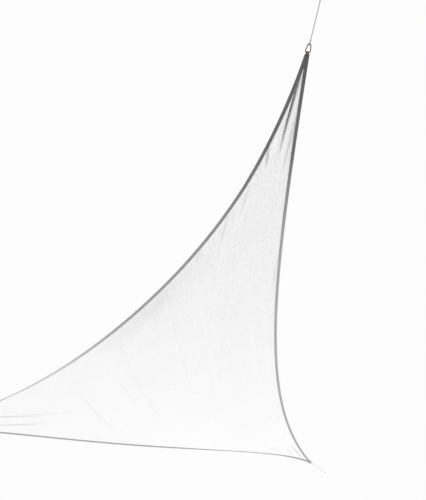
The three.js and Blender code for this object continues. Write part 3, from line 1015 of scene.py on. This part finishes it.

# soft lines that stay in the cloth from folding and pulling, placed as the folds are, with painted
# shade and painted highlight along them;
# peak is where along a line it is strongest, and shade is painted shade above 0 and painted highlight
# below it
creases = rowsOf(("from", "to", "bow", "width", "peak", "shade"), {
    "deep pleat": ((0.0185, 0.09), (0.104, 0.508), -0.0028, 0.0047, 0.36, 0.8),
    "beside right binding": ((0.045, 0.15), (0.175, 0.52), -0.002, 0.004, 0.55, 0.15),
    "short tuck": ((0.02, 0.43), (0.068, 0.585), -0.001, 0.0055, 0.6, 0.34),
    "left tuck": ((0.03, 0.7), (0.062, 0.91), -0.002, 0.005, 0.5, 0.15),
    "lower tuck": ((-0.014, 0.87), (0.026, 1.1), -0.001, 0.006, 0.55, 0.13),
    "by right binding": ((0.088, 0.27), (0.174, 0.61), 0, 0.005, 0.5, 0.2),
    "right pull": ((0.39, 1.06), (0.492, 1.345), -0.002, 0.007, 0.5, 0.12),
    "left nick": ((-0.065, 1.17), (-0.059, 1.27), 0, 0.008, 0.5, 0.08),
    "left hollow": ((-0.145, 1.47), (-0.195, 1.86), 0, 0.03, 0.5, 0.04),
    "left slope": ((0.02, 1.05), (-0.42, 2.2), 0, 0.09, 0.55, 0.055),
    "pleat ridge": ((0.02, 0.3), (0.105, 0.64), -0.004, 0.007, 0.4, -0.35),
    "right ridge": ((0.07, 0.28), (0.158, 0.66), -0.003, 0.007, 0.4, -0.35),
    "left ridge": ((0.054, 0.73), (0.087, 1.0), -0.002, 0.007, 0.4, -0.3),
    "long left ridge": ((0.01, 0.9), (0.185, 1.62), -0.014, 0.008, 0.4, -0.22),
    "pull two": ((0.11, 1.44), (0.95, 2.87), -0.035, 0.009, 0.4, -0.2),
    "pull three": ((-0.03, 1.34), (0.91, 2.89), -0.035, 0.009, 0.4, -0.2),
    "storage fold": ((-0.18, 1.52), (0.46, 2.6), -0.012, 0.008, 0.5, -0.2),
    "storage fold's shade": ((-0.168, 1.515), (0.472, 2.595), -0.012, 0.006, 0.5, 0.05),
    "short pull": ((0.222, 1.78), (0.264, 2.28), 0, 0.008, 0.5, -0.18),
    "pull six": ((0.29, 1.28), (1.22, 2.84), -0.03, 0.01, 0.4, -0.2),
    "pull seven": ((0.38, 1.27), (1.24, 2.77), -0.01, 0.01, 0.4, -0.2),
    "left pull": ((-0.17, 1.76), (-0.228, 2.18), 0, 0.008, 0.5, -0.18),
    "cross fold": ((0.31, 2.42), (0.48, 2.335), 0, 0.007, 0.5, 0.025),
    "fine one": ((-0.32, 2.0), (-0.16, 2.24), -0.004, 0.007, 0.5, 0.06),
    "fine two": ((-0.18, 2.23), (0.31, 2.86), -0.008, 0.007, 0.5, 0.05),
    "fine three": ((-0.24, 2.335), (0.03, 2.67), 0, 0.007, 0.5, 0.05),
    "fine four": ((-0.52, 2.52), (0, 3.05), 0, 0.007, 0.5, 0.06),
    "left corner one": ((-1.0, 3.06), (-0.6, 2.925), 0.003, 0.0055, 0.35, 0.24),
    "left corner two": ((-0.95, 3.135), (-0.55, 2.993), 0.001, 0.0055, 0.4, 0.24),
    "left corner three": ((-0.85, 3.0), (-0.42, 2.82), 0, 0.007, 0.5, 0.08),
    "right corner one": ((1.48, 2.965), (1.775, 3.225), 0, 0.005, 0.7, 0.3),
    "right corner inner": ((1.46, 3.015), (1.66, 3.18), 0, 0.0055, 0.6, 0.12),
    "right corner two": ((1.32, 3.04), (1.56, 3.145), 0, 0.007, 0.5, 0.08),
    "above the foot": ((-0.03, 3.085), (0.25, 3.073), 0, 0.008, 0.5, 0.06),
})


def creaseShade(finish, u, v):
    # how much painted shade, and below 0 painted highlight, the creases together put on each place
    total = None
    for crease in creases.values():
        x0, y0, alongX, alongY, length = lineThrough(crease)
        along = u * (alongX / length) + v * (alongY / length) - (x0 * alongX + y0 * alongY) / length
        run = finish.clamped(along)
        bow = run * (1 - run) * (4 * crease["bow"] / crease["width"])
        away = u * (alongY / crease["width"]) - v * (alongX / crease["width"])
        away = away - (x0 * alongY - y0 * alongX) / crease["width"] - bow
        across = finish.worked("EXPONENT", away * away * -1)
        toPeak = finish.worked("POWER", run, math.log(0.5) / math.log(crease["peak"]))
        swell = finish.worked("SINE", toPeak * math.pi)
        mark = across * swell * crease["shade"]
        total = mark if total is None else total + mark
    return total


def unevenKnit(finish, look, beside, v):
    total = -look["unevenFrom"]
    for size, gain in look["uneven"]:
        total = total + finish.stretched(beside, v, size) * gain
    return finish.clamped(total) * finish.clamped(look["unevenShade"] - v * look["unevenLess"])


def knittedCloth(look):
    finish = Finish("knitted_cloth")
    u, v = finish.flat()
    place = finish.objectPlace()
    clouds = finish.noise(place, look["cloudScale"])
    grain = finish.noise(place, look["grainScale"], detail=2.0)
    beside = u - v * (v * look["waleBow"] + look["waleSlope"])
    wales = finish.wave(beside, look["wale"]) * look["waleBump"]
    courses = finish.wave(v, look["course"]) * look["courseBump"]
    normal = finish.bump(wales + courses + grain * look["grainBump"], look)
    # painted shade that darkens the cloth towards the top corner, broken up by the clouds
    topShading = look["topShading"] - v * look["topShadeLess"] + clouds * look["cloudTopShade"]
    shade = creaseShade(finish, u, v)
    # over the white go worn tones, painted shade towards the top corner, the knit's uneven stitches,
    # painted highlight on ridges and painted shade in creases
    layers = [
        (clouds * look["cloudWear"] + grain * look["grainWear"], look["worn"]),
        (finish.clamped(topShading), look["paintedTopShade"]),
        (unevenKnit(finish, look, beside, v), look["knitShadow"]),
        (finish.clamped(shade * -1), look["paintedRidgeHighlight"]),
        (finish.clamped(shade), look["creaseShade"]),
    ]
    # what comes through has plain colours, blended as the face's are
    colour = look["white"]
    through = finish.translucent(colour, normal)
    for share, over in layers:
        colour = finish.mixed(share, colour, over)
        through = finish.blended(share, through, finish.translucent(over, normal))
    face = finish.face(colour, look["roughness"], normal, look["gloss"])
    return finish.surface(finish.blended(look["letThrough"], face, through))


webbingFinish = {
    "ribBump": 0.6,
    "twillBump": 0.4,
    "bump": 0.6,
    "bumpDepth": 0.0004,
    "roughness": 0.8,
    "gloss": 0.25,
}


def weave(finish, look):
    # the ribs across a webbing and the slanted lines of its twill
    u, v = finish.flat()
    return finish.wave(v, look["rib"]), finish.wave(u + v, look["twill"])


def webbing(finish, look, colour, ribs, slants):
    normal = finish.bump(ribs * look["ribBump"] + slants * look["twillBump"], look)
    return finish.surface(finish.face(colour, look["roughness"], normal, look["gloss"]))


# greys are as seen on a screen, at metres in front of the top corner; they are painted shade, darkest
# near the top corner and paler further from it
bindingFinish = {
    "rib": 0.0022,
    "twill": 0.0016,
    "reach": 1.6,  # of the greys
    "blotchScale": 14.0,
    "blotchShift": 0.12,  # how far blotches move a grey forwards or back, in metres
    "paler": 12,  # how much paler worn places are, and the ribs with painted highlight, of 255
    "wornShare": 0.5,
    "ribShare": 0.2,
    "twillShare": 0.15,
    "left": [(0, 84), (0.24, 98), (0.48, 104), (0.58, 112), (0.7, 121), (0.89, 138), (1.06, 144),
             (1.3, 149), (1.6, 155)],
    "right": [(0, 84), (0.24, 98), (0.44, 104), (0.52, 118), (0.61, 132), (0.75, 150), (0.89, 160),
              (1.18, 166), (1.6, 168)],
    "foot": [(0, 164), (1.6, 166)],
    "outermost": screenColour(206, 206, 209),  # of the left binding towards its lower corner
    "paling": 3.3,  # towards it for each metre to the left
    "palingFrom": 1.1,  # taken off that, so it starts a third of a metre out
}


def shadedWornWebbing(edgeName, look):
    finish = Finish("grey_webbing_" + edgeName)
    ribs, slants = weave(finish, look)
    place = finish.objectPlace()
    sideways, forwards = finish.apart(place)
    worn = finish.noise(place, look["blotchScale"], detail=4.0)
    # the greys along each binding are painted shade, darkest near the top corner
    along = (forwards + (worn - 0.5) * look["blotchShift"]) * (1 / look["reach"])
    shades = []
    for paler in (0, look["paler"]):
        stops = []
        for at, grey in look[edgeName]:
            level = grey + paler
            stops.append((at / look["reach"], screenColour(level, level, level + 2)))
        shades.append(finish.node("ShaderNodeValToRGB", {"stops": stops}, {0: along}))
    # worn places are real wear; the ribs and twill lines come out paler as painted highlight on their
    # raised threads
    wearAndWeaveHighlight = worn * look["wornShare"] + ribs * look["ribShare"] + slants * look["twillShare"]
    colour = finish.mixed(wearAndWeaveHighlight, *shades)
    # the left binding turns paler towards its lower corner
    if edgeName == "left":
        paled = finish.clamped(sideways * -look["paling"] - look["palingFrom"])
        colour = finish.mixed(paled, colour, look["outermost"])
    return webbing(finish, webbingFinish, colour, ribs, slants)


strapFinish = {
    "dark": screenColour(92, 78, 68),
    "light": screenColour(122, 106, 92),
    "rib": 0.0018,
    "twill": 0.0014,
    "blotchScale": 60.0,
    "wornShare": 0.6,
    "ribShare": 0.2,
}


def brownWebbing(look):
    finish = Finish("brown_webbing")
    ribs, slants = weave(finish, look)
    worn = finish.noise(finish.objectPlace(), look["blotchScale"], detail=4.0)
    # worn places are real wear; the ribs come out paler as painted highlight on their raised threads
    wearAndWeaveHighlight = worn * look["wornShare"] + ribs * look["ribShare"]
    colour = finish.mixed(wearAndWeaveHighlight, look["dark"], look["light"])
    return webbing(finish, webbingFinish, colour, ribs, slants)


threadFinish = {
    "grey": (screenColour(150, 150, 154), screenColour(112, 112, 116)),  # light, then dark
    "brown": (screenColour(132, 116, 100), screenColour(96, 82, 70)),
    "fibreScale": 600.0,
    "bump": 0.4,
    "bumpDepth": 0.0002,
    "roughness": 0.6,
}


def thread(name, look):
    finish = Finish(name + "_thread")
    fibres = finish.noise(finish.objectPlace(), look["fibreScale"], detail=2.0)
    colour = finish.mixed(fibres, *look[name])
    return finish.surface(finish.face(colour, look["roughness"], finish.bump(fibres, look)))


steelFinish = {
    "dark": screenColour(14, 12, 15),
    "light": screenColour(40, 38, 44),
    "stainScale": 160.0,
    "stainEdges": 0.6,
    "scratchScale": 900.0,
    "bump": 0.15,
    "bumpDepth": 0.0002,
    "roughness": 0.25,  # where there is no stain
    "stainRoughness": 0.3,
}


def steel(look):
    finish = Finish("weathered_steel")
    place = finish.objectPlace()
    stains = finish.noise(place, look["stainScale"], detail=4.0, roughness=look["stainEdges"])
    scratches = finish.noise(place, look["scratchScale"], detail=2.0)
    colour = finish.mixed(stains, look["dark"], look["light"])
    roughness = stains * look["stainRoughness"] + look["roughness"]
    return finish.surface(finish.face(colour, roughness, finish.bump(scratches, look), metal=1.0))


cordFinish = {
    "lavender": (screenColour(150, 147, 165), screenColour(200, 197, 212)),  # dark, then light
    "cream": (screenColour(212, 204, 186), screenColour(244, 237, 222)),
    "fuzzScale": 700.0,
    "grooveShadeShare": 0.7,
    "fuzzShare": 0.3,
    "fuzzBump": 0.4,
    "bump": 0.5,
    "bumpDepth": 0.0004,
    "roughness": 0.75,
}


def braidedCord(name, look):
    finish = Finish(name + "_cord")
    u, v = finish.flat()
    twist = v * (1 / cord["braidPitch"])
    lay = finish.wave(u + twist, 1 / cord["strands"]) * finish.wave(u - twist, 1 / cord["strands"])
    fuzz = finish.noise(finish.objectPlace(), look["fuzzScale"])
    # the lay darkens the grooves between the strands as painted shade; the fuzz adds random tone
    colour = finish.mixed(lay * look["grooveShadeShare"] + fuzz * look["fuzzShare"], *look[name])
    normal = finish.bump(lay + fuzz * look["fuzzBump"], look)
    return finish.surface(finish.face(colour, look["roughness"], normal))


paint([sailCloth], knittedCloth(clothFinish))
for edgeName, piece in zip(edges, bindings):
    paint([piece], shadedWornWebbing(edgeName, bindingFinish))
paint(stitches, thread("grey", threadFinish))
paint(straps, brownWebbing(strapFinish))
paint(strapStitches, thread("brown", threadFinish))
paint(rings, steel(steelFinish))
paint(cords["cord_grey"], braidedCord("lavender", cordFinish))
paint(cords["cord_cream"], braidedCord("cream", cordFinish))
print("finishes made")

# floor, light and surroundings

studio = {
    "floorSize": 160,
    "floor": screenColour(248, 248, 247),
    "floorRoughness": 0.9,
    "floorGloss": 0.1,
    "surroundings": 0.98,
    "keyPlace": (1.6, 6.2, 3.2),
    "keyAim": (0.3, 2.2, -1.1),
    "keySize": 5.0,
    "keyPower": 190.0,  # watts
}


def makeFloor():
    bm = bmesh.new()
    bmesh.ops.create_grid(bm, x_segments=1, y_segments=1, size=studio["floorSize"] / 2)
    height = view["place"][2] - view["eyeHeight"]
    bmesh.ops.translate(bm, vec=(0, 0, height), verts=bm.verts)
    floor = addObject("floor", meshOf(bm, "floor"))
    finish = Finish("pale_floor")
    face = finish.node("ShaderNodeBsdfPrincipled", None, {
        "Base Color": studio["floor"], "Roughness": studio["floorRoughness"],
        "Specular IOR Level": studio["floorGloss"]})
    paint([floor], finish.surface(face))


def makeWorld():
    world = bpy.data.worlds.new("studio")
    world.use_nodes = True
    background = world.node_tree.nodes["Background"]
    level = studio["surroundings"]
    background.inputs["Color"].default_value = (level, level, level, 1)
    bpy.context.scene.world = world


def makeKeyLight():
    data = bpy.data.lights.new("key", "AREA")
    data.size = studio["keySize"]
    data.energy = studio["keyPower"]
    lamp = addObject("key", data)
    place, aim = Vector(studio["keyPlace"]), Vector(studio["keyAim"])
    lamp.location = place
    lamp.rotation_euler = (aim - place).to_track_quat("-Z", "Y").to_euler()


makeFloor()
makeWorld()
makeKeyLight()
bpy.context.scene.view_settings.view_transform = "Standard"
print("studio made")
